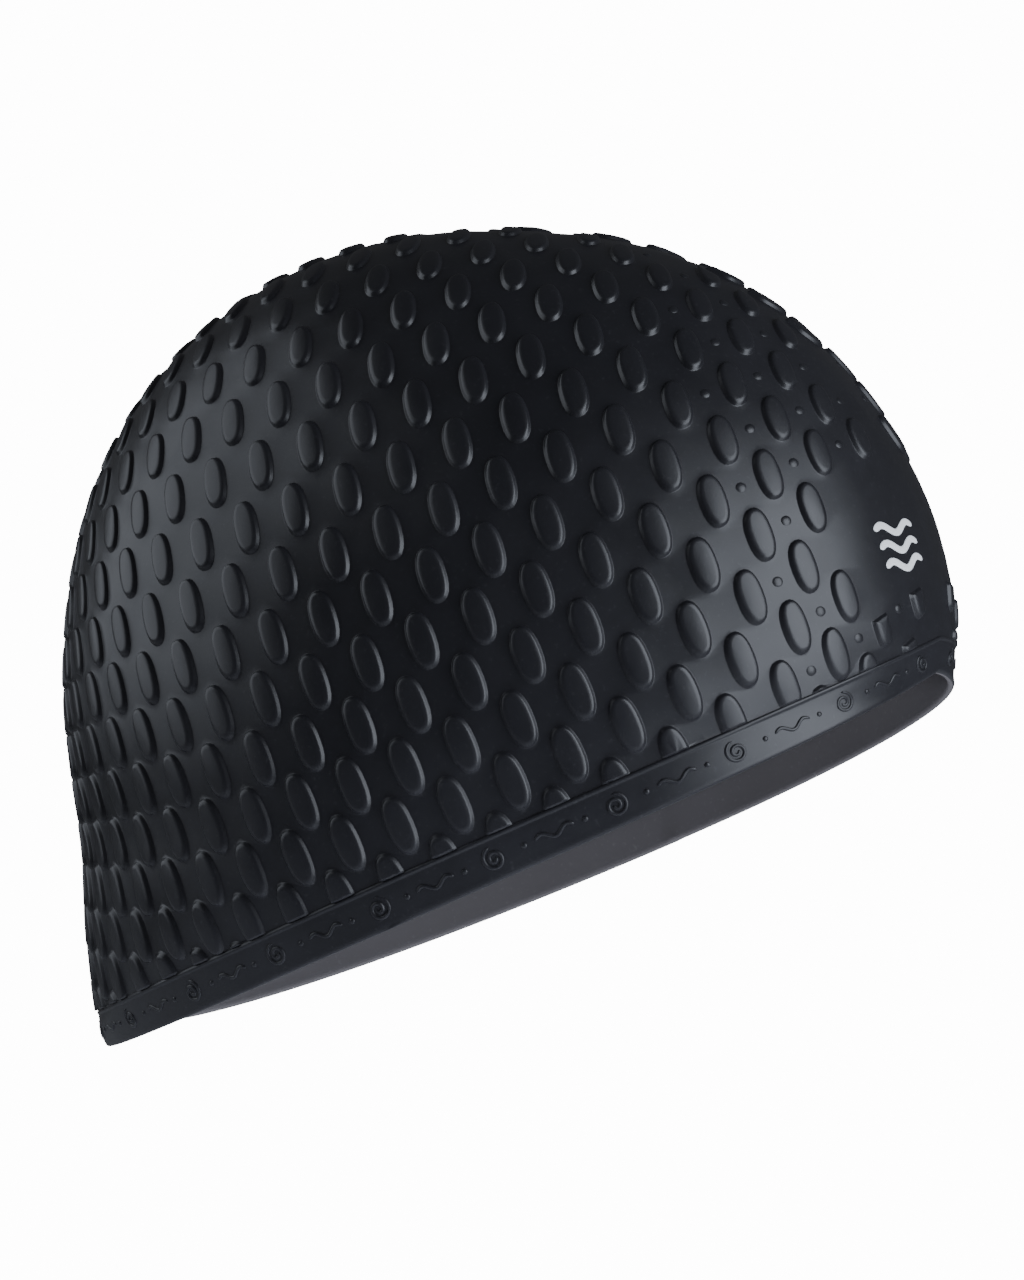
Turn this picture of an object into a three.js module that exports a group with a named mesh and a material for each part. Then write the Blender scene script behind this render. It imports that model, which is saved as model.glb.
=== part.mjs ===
// Swim cap of moulded silicone in its worn form: a thin dome with a field of raised oval bubbles,
// a bare forehead panel and a hem round the head opening. Millimetres, +X to the forehead,
// +Y to the wearer's left, +Z up, origin in the middle of the head opening.
import * as THREE from 'three';
import { mergeVertices } from 'three/addons/utils/BufferGeometryUtils.js';

// Head form that the rubber is stretched over.
const halfWidth = 76;      // middle seam to the widest place, above the ear
const earHeight = 19;      // widest place above the rim's front and back ends
const frontReach = 105.5;  // widest place to the forehead
const crownReach = 113;    // widest place to the top
const backReach = 98;      // widest place to the back of the head
const rimTilt = 24.5;      // degrees that the rim rises from nape to forehead

// Rubber.
const wall = 1.0;
const sideDrop = 26;       // rim to the widest place, measured along the rubber at the ear
const hemHeight = 8.5;
const hemRise = 0.4;       // the hem is thicker than the dome by this
const hemShoulder = 0.8;   // slope from the hem down to the dome

// Bubbles, measured along the rubber. Their brick rows bend up towards both ends.
const bubbleWidth = 5.8;
const bubbleLength = 11.9;
const bubbleRise = 1.0;
const bubbleShoulder = 0.7;
const gapAcross = 6.6;     // between neighbours of one row, at the row's start
const gapGain = 0.2;       // added to the gap with each bubble further forward
const rowOverlap = 2.05;   // a row's bubbles reach between those of the next row
const overlapLoss = 0.37;  // taken off the overlap with each row further up
const rowStart = 40.5;     // middle of a bubble of the even rows, forward of the ear
const firstRow = 7.0;      // middle of row 0 at its lowest place, above the rim
const lowestPlace = 31;    // lowest place of the rows, forward of the ear
const rowBend = 34;        // at bendSpan from its lowest place a row has risen by 0.41 of this
const bendSpan = 100;
const rowsBelow = 1;       // rows below row 0, which clear the hem only at their ends
const seamGap = 2.6;       // plain rubber left beside the middle seam
const hemGap = 0.8;        // plain rubber left above the hem

// Bare forehead panel, on both sides of the middle seam.
const panelBack = 117;     // its edge, forward of the ear
const panelFoot = 25;
const panelTop = 56;

// Side outline of the head as shares of the ellipse through the three reaches.
// Angles are in degrees, from straight ahead up and over to the nape.
const sideOutline = [
  { angle: -12, swell: 0.936 },
  { angle: -1, swell: 0.995 },
  { angle: 14, swell: 1.038 },
  { angle: 38, swell: 1.054 },
  { angle: 64, swell: 1.01 },
  { angle: 90, swell: 1.0 },
  { angle: 116, swell: 0.985 },
  { angle: 142, swell: 0.942 },
  { angle: 166, swell: 0.927 },
  { angle: 181, swell: 1.0 },
  { angle: 192, swell: 1.076 },
];

// Fineness of the mesh, and what counts as touching in it.
const sectionSteps = 48;
const rimSteps = 24;
const seamSteps = 32;
const liningStep = 24;
const liningMargin = 5;
const bubbleSides = 6;
const bubbleSquareness = 2.5; // 2 is an ellipse, more is squarer
const halvings = 50;       // of the span searched for an end of a level
const farAway = 1e5;       // corners of the first triangle, well outside the cap
const circleTie = 1e-7;    // points as good as on a circle count as outside it
const seamTie = 1e-6;      // share of a step within which a point is on the seam
const weldGap = 1e-4;

const pitch = bubbleWidth + gapAcross;
const rowStep = bubbleLength - rowOverlap;
const fieldFoot = hemHeight + hemShoulder;

const swellCurve = new THREE.CubicInterpolant(
  sideOutline.map((row) => row.angle),
  sideOutline.map((row) => row.swell),
  1,
);

// Distance from the widest place to the middle seam in one direction of the side view.
function reach(angle) {
  const forward = Math.cos(angle);
  const upward = Math.sin(angle);
  const length = forward > 0 ? frontReach : backReach;
  const ellipse = 1 / Math.hypot(forward / length, upward / crownReach);
  return ellipse * swellCurve.evaluate(THREE.MathUtils.radToDeg(angle))[0];
}

// Lengths along the quarter ellipse from the widest place to the seam, one for each step.
function sectionLengths(angle) {
  const radius = reach(angle);
  const lengths = [0];
  for (let i = 1; i <= sectionSteps; i += 1) {
    const turn = ((i - 0.5) / sectionSteps) * (Math.PI / 2);
    const speed = Math.hypot(radius * Math.cos(turn), halfWidth * Math.sin(turn));
    lengths.push(lengths[i - 1] + (speed * Math.PI) / 2 / sectionSteps);
  }
  return lengths;
}

function seamLength(angle) {
  return sectionLengths(angle)[sectionSteps];
}

// Direction and distance of a flat point from the widest place. Angles run up to the nape.
function polar({ ahead, above }) {
  const turn = Math.atan2(above - sideDrop, ahead);
  return {
    angle: turn < -Math.PI / 2 ? turn + 2 * Math.PI : turn,
    distance: Math.hypot(ahead, above - sideDrop),
  };
}

function flat(angle, distance) {
  return { ahead: distance * Math.cos(angle), above: sideDrop + distance * Math.sin(angle) };
}

// Lays a flat point of the rubber on the right side of the head. A flat point is measured along the
// rubber, ahead of the ear and above the rim; lift is its height off the dome's plain outside.
function wrap({ ahead, above }, lift) {
  const { angle, distance } = polar({ ahead, above });
  const lengths = sectionLengths(angle);
  let step = 1;
  while (step < sectionSteps && lengths[step] < distance) {
    step += 1;
  }
  const part = (distance - lengths[step - 1]) / (lengths[step] - lengths[step - 1]);
  const turn = ((step - 1 + Math.min(part, 1)) / sectionSteps) * (Math.PI / 2);
  const onSeam = part > 1 - seamTie && step === sectionSteps;
  const radius = (reach(angle) + lift) * Math.sin(turn);
  return [
    radius * Math.cos(angle),
    onSeam ? 0 : -(halfWidth + lift) * Math.cos(turn),
    earHeight + radius * Math.sin(angle),
  ];
}

// Where the line at one height above the rim meets the seam, ahead (1) or behind (-1).
function seamEnd(above, side) {
  let near = 0;
  let far = 2 * (frontReach + crownReach);
  for (let i = 0; i < halvings; i += 1) {
    const middle = (near + far) / 2;
    const { angle, distance } = polar({ ahead: side * middle, above });
    if (distance < seamLength(angle)) {
      near = middle;
    } else {
      far = middle;
    }
  }
  return side * near;
}

// Evenly spaced flat points at one height, from the nape's seam to the forehead's.
function level(above) {
  const back = seamEnd(above, -1);
  const front = seamEnd(above, 1);
  return Array.from({ length: rimSteps + 1 }, (_, i) => ({
    ahead: THREE.MathUtils.lerp(back, front, i / rimSteps),
    above,
  }));
}

// Flat points along the seam between the two ends of a level, without those ends.
function seamLine(foot) {
  const start = polar(foot[rimSteps]).angle;
  const end = polar(foot[0]).angle;
  const points = [];
  for (let i = 1; i < seamSteps; i += 1) {
    const angle = THREE.MathUtils.lerp(start, end, i / seamSteps);
    points.push(flat(angle, seamLength(angle)));
  }
  return points;
}

// A point pulled back until it keeps its distance from the seam and from the hem.
function keepClear(point, fromSeam, fromHem) {
  const raised = { ahead: point.ahead, above: Math.max(point.above, fieldFoot + fromHem) };
  const { angle, distance } = polar(raised);
  return flat(angle, Math.min(distance, seamLength(angle) - fromSeam));
}

function bubbleRing(centre, inset) {
  const ring = [];
  for (let i = 0; i < bubbleSides; i += 1) {
    const turn = Math.PI / 2 + (i / bubbleSides) * 2 * Math.PI;
    const across = Math.sign(Math.cos(turn)) * Math.abs(Math.cos(turn)) ** (2 / bubbleSquareness);
    const along = Math.sign(Math.sin(turn)) * Math.abs(Math.sin(turn)) ** (2 / bubbleSquareness);
    const corner = {
      ahead: centre.ahead + across * (bubbleWidth / 2 - inset),
      above: centre.above + along * (bubbleLength / 2 - inset),
    };
    ring.push(keepClear(corner, seamGap + inset, hemGap + inset));
  }
  return ring;
}

function onPanel({ ahead, above }) {
  return ahead > panelBack && above > panelFoot && above < panelTop;
}

// Brick rows of bubble middles over one side. Every second row is shifted by half a pitch.
function bubbleCentres() {
  const rows = Math.ceil((sideDrop + 2 * crownReach) / rowStep);
  const half = Math.ceil((2 * crownReach) / pitch);
  const centres = [];
  for (let row = -rowsBelow; row < rows; row += 1) {
    const base = firstRow + row * rowStep + (row ** 2 / 2) * overlapLoss;
    for (let i = -half; i <= half; i += 1) {
      const place = i + Math.abs(row % 2) / 2;
      const ahead = rowStart + place * pitch + (place ** 2 / 2) * gapGain;
      const rise = rowBend * (Math.hypot(1, (ahead - lowestPlace) / bendSpan) - 1);
      centres.push({ ahead, above: base + rise });
    }
  }
  return centres;
}

function roomAtSeam(point) {
  const { angle, distance } = polar(point);
  return seamLength(angle) - distance;
}

function middleOf(a, b, c) {
  return { ahead: (a.ahead + b.ahead + c.ahead) / 3, above: (a.above + b.above + c.above) / 3 };
}

// Flat points joined by triangles so that no triangle's circle holds another point.
function triangulate(points) {
  const outer = [[-farAway, -farAway], [farAway, -farAway], [0, farAway]];
  const all = [...points, ...outer.map(([ahead, above]) => ({ ahead, above }))];
  let triangles = [[points.length, points.length + 1, points.length + 2]];
  points.forEach((point, index) => {
    const edges = new Map();
    triangles = triangles.filter((triangle) => {
      if (!circleHolds(triangle.map((corner) => all[corner]), point)) {
        return true;
      }
      triangle.forEach((corner, i) => {
        const next = triangle[(i + 1) % 3];
        if (!edges.delete(`${next},${corner}`)) {
          edges.set(`${corner},${next}`, [corner, next]);
        }
      });
      return false;
    });
    for (const [from, to] of edges.values()) {
      triangles.push([from, to, index]);
    }
  });
  return triangles.filter((triangle) => Math.max(...triangle) < points.length);
}

function circleHolds([a, b, c], point) {
  const rows = [a, b, c].map(({ ahead, above }) => {
    const aheadGap = ahead - point.ahead;
    const aboveGap = above - point.above;
    return [aheadGap, aboveGap, aheadGap ** 2 + aboveGap ** 2];
  });
  const [first, second, third] = rows;
  const volume = first[0] * (second[1] * third[2] - second[2] * third[1])
    - first[1] * (second[0] * third[2] - second[2] * third[0])
    + first[2] * (second[0] * third[1] - second[1] * third[0]);
  return volume > circleTie;
}

// Twice the area of a flat triangle, positive when its corners turn left.
function turnOf(a, b, c) {
  return (b.ahead - a.ahead) * (c.above - a.above) - (b.above - a.above) * (c.ahead - a.ahead);
}

// Whether the line from a to b crosses the line from c to d.
function cross(a, b, c, d) {
  return turnOf(a, b, c) * turnOf(a, b, d) < 0 && turnOf(c, d, a) * turnOf(c, d, b) < 0;
}

// Finds an edge in the way between two points that can be swapped for the other diagonal of its
// two triangles, and swaps it. Returns false when there is none.
function clearWay(points, triangles, from, to) {
  for (const triangle of triangles) {
    for (let i = 0; i < 3; i += 1) {
      const [p, q, r] = [triangle[i], triangle[(i + 1) % 3], triangle[(i + 2) % 3]];
      if (cross(points[from], points[to], points[p], points[q])) {
        const other = triangles.find((t) => [0, 1, 2].some((k) => t[k] === q && t[(k + 1) % 3] === p));
        const s = other.find((corner) => corner !== p && corner !== q);
        if (cross(points[r], points[s], points[p], points[q])) {
          triangle.splice(0, 3, r, p, s);
          other.splice(0, 3, s, q, r);
          return true;
        }
      }
    }
  }
  return false;
}

// Collects the triangles of the right side and mirrors them to the left.
class Skin {
  constructor() {
    this.corners = [];
  }

  triangle(a, b, c) {
    this.corners.push(a, b, c);
  }

  // A band between two rows of points, seen from outside with the first row below.
  band(below, above) {
    for (let i = 0; i + 1 < below.length; i += 1) {
      this.triangle(below[i], below[i + 1], above[i + 1]);
      this.triangle(below[i], above[i + 1], above[i]);
    }
  }

  geometry() {
    const right = this.corners;
    const positions = right.flat();
    for (let i = 0; i < right.length; i += 3) {
      for (const [x, y, z] of [right[i], right[i + 2], right[i + 1]]) {
        positions.push(x, -y, z);
      }
    }
    const geometry = new THREE.BufferGeometry();
    geometry.setAttribute('position', new THREE.Float32BufferAttribute(positions, 3));
    return mergeVertices(geometry, weldGap);
  }
}

// The dome's outside: plain rubber between the bubbles, and the bubbles themselves.
function addField(skin, foot) {
  const points = [...foot, ...seamLine(foot)];
  const owner = points.map(() => -1);
  const bubbles = [];
  bubbleCentres().forEach((centre, number) => {
    const room = roomAtSeam(centre);
    const height = centre.above - fieldFoot;
    if (room < seamGap + bubbleShoulder || height < hemGap + bubbleShoulder) {
      return;
    }
    if (onPanel(centre)) {
      if (room > bubbleWidth) {
        points.push(centre);
        owner.push(-1);
      }
      return;
    }
    const ring = bubbleRing(centre, 0);
    points.push(...ring);
    owner.push(...ring.map(() => number));
    bubbles.push({ ring, top: bubbleRing(centre, bubbleShoulder), first: points.length - bubbleSides });
  });
  const places = points.map((point) => wrap(point, 0));
  const triangles = triangulate(points);
  for (const { first } of bubbles) {
    for (let i = 0; i < bubbleSides; i += 1) {
      while (clearWay(points, triangles, first + i, first + ((i + 1) % bubbleSides))) {
        // Each call swaps one more edge.
      }
    }
  }
  for (const [a, b, c] of triangles) {
    const inBubble = owner[a] >= 0 && owner[a] === owner[b] && owner[b] === owner[c];
    if (!inBubble && roomAtSeam(middleOf(points[a], points[b], points[c])) > 0) {
      skin.triangle(places[a], places[b], places[c]);
    }
  }
  for (const { ring, top } of bubbles) {
    addBubble(skin, ring.map((point) => wrap(point, 0)), top.map((point) => wrap(point, bubbleRise)));
  }
}

function addBubble(skin, ring, top) {
  skin.band([...ring, ring[0]], [...top, top[0]]);
  for (let i = 1; i + 1 < top.length; i += 1) {
    skin.triangle(top[0], top[i], top[i + 1]);
  }
}

// The smooth inside of the dome.
function addLining(skin, rim) {
  const points = [...rim, ...seamLine(rim)];
  const rows = Math.ceil((2 * crownReach) / liningStep);
  for (let row = 1; row < rows; row += 1) {
    for (let i = -rows; i <= rows; i += 1) {
      const point = { ahead: (i + (row % 2) / 2) * liningStep, above: row * liningStep };
      if (roomAtSeam(point) > liningMargin) {
        points.push(point);
      }
    }
  }
  const places = points.map((point) => wrap(point, -wall));
  for (const [a, b, c] of triangulate(points)) {
    if (roomAtSeam(middleOf(points[a], points[b], points[c])) > 0) {
      skin.triangle(places[a], places[c], places[b]);
    }
  }
}

function addHem(skin, rim, foot) {
  const inner = rim.map((point) => wrap(point, -wall));
  const edge = rim.map((point) => wrap(point, hemRise));
  const shelf = level(hemHeight).map((point) => wrap(point, hemRise));
  skin.band(inner, edge);
  skin.band(edge, shelf);
  skin.band(shelf, foot.map((point) => wrap(point, 0)));
}

function capShell() {
  const skin = new Skin();
  const rim = level(0);
  const foot = level(fieldFoot);
  addHem(skin, rim, foot);
  addField(skin, foot);
  addLining(skin, rim);
  return skin.geometry();
}

function blackSilicone() {
  return new THREE.MeshStandardMaterial({ color: 0x17171a, roughness: 0.45, metalness: 0 });
}

const shell = new THREE.Mesh(capShell(), blackSilicone());
shell.name = 'cap_shell';
shell.rotation.y = -THREE.MathUtils.degToRad(rimTilt);

const group = new THREE.Group();
group.add(shell);

export default group;
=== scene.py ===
"""A black silicone swim cap in its worn form: bubble dome, hem, forehead panel and studio."""

import logging
import math
from bisect import bisect_right
from dataclasses import dataclass, field
from enum import Enum

import bmesh
import bpy
from mathutils import Matrix, Vector


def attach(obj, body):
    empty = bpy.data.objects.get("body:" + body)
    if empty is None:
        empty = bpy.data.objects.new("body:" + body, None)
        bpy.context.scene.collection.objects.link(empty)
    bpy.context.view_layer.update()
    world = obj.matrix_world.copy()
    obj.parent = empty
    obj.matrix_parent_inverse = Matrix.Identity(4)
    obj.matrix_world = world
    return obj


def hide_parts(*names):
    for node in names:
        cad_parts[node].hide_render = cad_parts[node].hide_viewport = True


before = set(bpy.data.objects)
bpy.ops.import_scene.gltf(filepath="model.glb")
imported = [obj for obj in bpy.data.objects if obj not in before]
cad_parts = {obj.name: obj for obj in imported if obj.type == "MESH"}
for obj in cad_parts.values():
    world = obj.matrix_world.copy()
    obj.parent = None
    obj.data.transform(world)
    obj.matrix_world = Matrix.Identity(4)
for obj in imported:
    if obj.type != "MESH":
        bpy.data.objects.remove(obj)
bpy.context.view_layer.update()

logging.basicConfig(level=logging.INFO, format="%(message)s")
log = logging.getLogger("swim_cap")

MM = 0.001
WELD = 0.00002
NORMAL_WEIGHT = 60

CLOUD_DETAIL = 5.0
CLOUD_ROUGHNESS = 0.62
SPECK_DETAIL = 2.0
SPECK_FROM = 0.62
SPECK_FULL = 0.78
GRAIN_DETAIL = 3.0
SLOW_WAVE_DETAIL = 1.0

SPIRAL_START = 0.5
SPIRAL_TURN = 3.6
SPIRAL_SHRINK = 0.88
WAVE_HEIGHT = 0.085
WAVE_BENDS = 3


class Side(Enum):
    """Which end of the middle seam a line on the side of the cap runs to."""

    NAPE = -1
    FOREHEAD = 1


@dataclass(frozen=True)
class OutlineRow:
    """One direction of the side view and the outline's share of the plain ellipse there."""

    angle: float
    swell: float


@dataclass
class HeadForm:
    """The stretched form: half ellipses that run from above the ear to the middle seam.

    A point of the rubber is given flat, as it lies on the side of the cap: ahead of the ear
    and above the rim. place() lays it on the right side of the head.
    """

    half_width: float = 76 * MM
    ear_height: float = 19 * MM
    front_reach: float = 105.5 * MM
    crown_reach: float = 113 * MM
    back_reach: float = 98 * MM
    side_drop: float = 26 * MM
    rim_tilt: float = math.radians(24.5)
    outline: tuple[OutlineRow, ...] = (
        OutlineRow(-12, 0.936),
        OutlineRow(-1, 0.995),
        OutlineRow(14, 1.038),
        OutlineRow(38, 1.054),
        OutlineRow(64, 1.010),
        OutlineRow(90, 1.000),
        OutlineRow(116, 0.985),
        OutlineRow(142, 0.942),
        OutlineRow(166, 0.927),
        OutlineRow(181, 1.000),
        OutlineRow(192, 1.076),
    )
    first_angle: int = -91
    last_angle: int = 271
    steps: int = 72
    halvings: int = 40
    last_turn: float = math.radians(118)
    lengths: list[list[float]] = field(default_factory=list, repr=False)

    def __post_init__(self) -> None:
        """Work out the lengths along each section once, a section for each degree."""
        for degree in range(self.first_angle, self.last_angle + 1):
            self.lengths.append(self._section(math.radians(degree)))

    def swell(self, degree: float) -> float:
        """Read the outline's share between its rows on a smooth curve.

        Args:
            degree: Direction in the side view, from straight ahead up and over.

        Returns:
            The share of the plain ellipse.
        """
        rows = self.outline
        degree = min(max(degree, rows[0].angle), rows[-1].angle)
        k = min(max(bisect_right([row.angle for row in rows], degree) - 1, 0), len(rows) - 2)
        low, high = rows[k], rows[k + 1]
        span = high.angle - low.angle
        t = (degree - low.angle) / span
        start = self._slope(k) * span
        end = self._slope(k + 1) * span
        return (
            (2 * t**3 - 3 * t**2 + 1) * low.swell
            + (t**3 - 2 * t**2 + t) * start
            + (3 * t**2 - 2 * t**3) * high.swell
            + (t**3 - t**2) * end
        )

    def _slope(self, k: int) -> float:
        """Slope of the outline at a row, from its neighbours.

        Args:
            k: Number of the row.

        Returns:
            The change of the share for each degree.
        """
        before = self.outline[max(k - 1, 0)]
        after = self.outline[min(k + 1, len(self.outline) - 1)]
        return (after.swell - before.swell) / (after.angle - before.angle)

    def reach(self, angle: float) -> float:
        """Distance from the widest place to the seam in one direction, in metres.

        Args:
            angle: Direction in the side view, in radians.

        Returns:
            The distance.
        """
        forward, upward = math.cos(angle), math.sin(angle)
        length = self.front_reach if forward > 0 else self.back_reach
        ellipse = 1 / math.hypot(forward / length, upward / self.crown_reach)
        return ellipse * self.swell(math.degrees(angle))

    def _section(self, angle: float) -> list[float]:
        """Lengths along one section from the widest place, past the seam.

        Args:
            angle: Direction of the section in the side view, in radians.

        Returns:
            The length at each step, starting with nought.
        """
        radius = self.reach(angle)
        step = self.last_turn / self.steps
        lengths = [0.0]
        for i in range(self.steps):
            turn = (i + 0.5) * step
            speed = math.hypot(radius * math.cos(turn), self.half_width * math.sin(turn))
            lengths.append(lengths[-1] + speed * step)
        return lengths

    def _turn_at(self, row: list[float], distance: float) -> float:
        """Turn along one section where its length reaches a distance.

        Args:
            row: Lengths along the section.
            distance: Length to reach, in metres.

        Returns:
            The turn in radians.
        """
        k = min(max(bisect_right(row, distance) - 1, 0), self.steps - 1)
        part = (distance - row[k]) / (row[k + 1] - row[k])
        return (k + part) * self.last_turn / self.steps

    def polar(self, ahead: float, above: float) -> tuple[float, float]:
        """Direction and distance of a flat point from the widest place.

        Args:
            ahead: Length along the rubber forward of the ear, in metres.
            above: Length along the rubber up from the rim, in metres.

        Returns:
            The direction in radians and the distance in metres.
        """
        angle = math.atan2(above - self.side_drop, ahead)
        if angle < -math.pi / 2:
            angle += 2 * math.pi
        return angle, math.hypot(ahead, above - self.side_drop)

    def turn(self, ahead: float, above: float) -> tuple[float, float]:
        """Direction and turn of a flat point; a quarter turn is the middle seam.

        Args:
            ahead: Length along the rubber forward of the ear, in metres.
            above: Length along the rubber up from the rim, in metres.

        Returns:
            The direction and the turn, in radians.
        """
        angle, distance = self.polar(ahead, above)
        place = math.degrees(angle) - self.first_angle
        k = min(max(int(place), 0), len(self.lengths) - 2)
        part = place - k
        near = self._turn_at(self.lengths[k], distance)
        far = self._turn_at(self.lengths[k + 1], distance)
        return angle, near + (far - near) * part

    def place(self, ahead: float, above: float, lift: float = 0.0) -> Vector:
        """Lay a flat point on the right side of the head, with the rim tilted.

        Args:
            ahead: Length along the rubber forward of the ear, in metres.
            above: Length along the rubber up from the rim, in metres.
            lift: Height off the dome's plain outside, in metres.

        Returns:
            The point in the object's frame.
        """
        angle, turn = self.turn(ahead, above)
        radius = (self.reach(angle) + lift) * math.sin(turn)
        x = radius * math.cos(angle)
        z = self.ear_height + radius * math.sin(angle)
        y = -(self.half_width + lift) * math.cos(turn)
        c, s = math.cos(self.rim_tilt), math.sin(self.rim_tilt)
        return Vector((x * c - z * s, y, x * s + z * c))

    def room(self, ahead: float, above: float) -> float:
        """Length of rubber between a flat point and the middle seam.

        Args:
            ahead: Length along the rubber forward of the ear, in metres.
            above: Length along the rubber up from the rim, in metres.

        Returns:
            The length in metres, negative past the seam.
        """
        angle, distance = self.polar(ahead, above)
        row = self._section(angle)
        quarter = math.pi / 2 / self.last_turn * self.steps
        k = int(quarter)
        return row[k] + (row[k + 1] - row[k]) * (quarter - k) - distance

    def seam_end(self, above: float, side: Side) -> float:
        """Where a level line meets the middle seam, ahead of the ear.

        Args:
            above: Height of the line above the rim.
            side: The forehead's or the nape's end of the seam.

        Returns:
            The flat distance ahead of the ear, negative behind it.
        """
        near, far = 0.0, 2 * (self.front_reach + self.crown_reach)
        for _ in range(self.halvings):
            middle = (near + far) / 2
            if self.room(side.value * middle, above) > 0:
                near = middle
            else:
                far = middle
        return side.value * near


class Finish:
    """Base of the finishes: makes a node material once and keeps it."""

    name = "finish"

    def material(self) -> bpy.types.Material:
        """Return the finish's material, built on first use.

        Returns:
            The node material.
        """
        found = bpy.data.materials.get(self.name)
        if found:
            return found
        made = bpy.data.materials.new(self.name)
        made.use_nodes = True
        self.dress(made.node_tree)
        return made

    def dress(self, tree: bpy.types.NodeTree) -> None:
        """Add the finish's nodes to a new material's tree."""
        raise NotImplementedError


def add_group(name: str, inputs: dict[str, float], outputs: dict[str, str]) -> bpy.types.NodeTree:
    """Start a shader node group with number inputs.

    Args:
        name: Name of the group.
        inputs: Input names and their default numbers.
        outputs: Output names and their socket types.

    Returns:
        The new group, with its input and output nodes.
    """
    group = bpy.data.node_groups.new(name, "ShaderNodeTree")
    for label, value in inputs.items():
        socket = group.interface.new_socket(label, in_out="INPUT", socket_type="NodeSocketFloat")
        socket.default_value = value
    for label, kind in outputs.items():
        group.interface.new_socket(label, in_out="OUTPUT", socket_type=kind)
    group.nodes.new("NodeGroupInput")
    group.nodes.new("NodeGroupOutput")
    return group


def cloud_group() -> bpy.types.NodeTree:
    """Group that gives a soft cloudy mask and fine specks over the rubber.

    Returns:
        The group, made on first use.
    """
    found = bpy.data.node_groups.get("rubber_clouds")
    if found:
        return found
    kind = "NodeSocketFloat"
    group = add_group(
        "rubber_clouds",
        {"Cloud Scale": 40.0, "Speck Scale": 900.0},
        {"Clouds": kind, "Specks": kind},
    )
    nodes, links = group.nodes, group.links
    place = nodes.new("ShaderNodeTexCoord")
    start, end = nodes["Group Input"], nodes["Group Output"]
    clouds = nodes.new("ShaderNodeTexNoise")
    clouds.inputs["Detail"].default_value = CLOUD_DETAIL
    clouds.inputs["Roughness"].default_value = CLOUD_ROUGHNESS
    specks = nodes.new("ShaderNodeTexNoise")
    specks.inputs["Detail"].default_value = SPECK_DETAIL
    ramp = nodes.new("ShaderNodeMapRange")
    ramp.inputs["From Min"].default_value = SPECK_FROM
    ramp.inputs["From Max"].default_value = SPECK_FULL
    links.new(place.outputs["Object"], clouds.inputs["Vector"])
    links.new(place.outputs["Object"], specks.inputs["Vector"])
    links.new(start.outputs["Cloud Scale"], clouds.inputs["Scale"])
    links.new(start.outputs["Speck Scale"], specks.inputs["Scale"])
    links.new(specks.outputs["Fac"], ramp.inputs["Value"])
    links.new(clouds.outputs["Fac"], end.inputs["Clouds"])
    links.new(ramp.outputs["Result"], end.inputs["Specks"])
    return group


def grain_group() -> bpy.types.NodeTree:
    """Group that gives the height of a moulded skin: fine grain on a slow waviness.

    Returns:
        The group, made on first use.
    """
    found = bpy.data.node_groups.get("moulded_grain")
    if found:
        return found
    group = add_group(
        "moulded_grain",
        {"Grain Scale": 2500.0, "Wave Scale": 120.0, "Wave Share": 0.5},
        {"Height": "NodeSocketFloat"},
    )
    nodes, links = group.nodes, group.links
    place = nodes.new("ShaderNodeTexCoord")
    start, end = nodes["Group Input"], nodes["Group Output"]
    grain = nodes.new("ShaderNodeTexNoise")
    grain.inputs["Detail"].default_value = GRAIN_DETAIL
    wave = nodes.new("ShaderNodeTexNoise")
    wave.inputs["Detail"].default_value = SLOW_WAVE_DETAIL
    mix = nodes.new("ShaderNodeMix")
    links.new(place.outputs["Object"], grain.inputs["Vector"])
    links.new(place.outputs["Object"], wave.inputs["Vector"])
    links.new(start.outputs["Grain Scale"], grain.inputs["Scale"])
    links.new(start.outputs["Wave Scale"], wave.inputs["Scale"])
    links.new(start.outputs["Wave Share"], mix.inputs["Factor"])
    links.new(grain.outputs["Fac"], mix.inputs["A"])
    links.new(wave.outputs["Fac"], mix.inputs["B"])
    links.new(mix.outputs["Result"], end.inputs["Height"])
    return group


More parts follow.
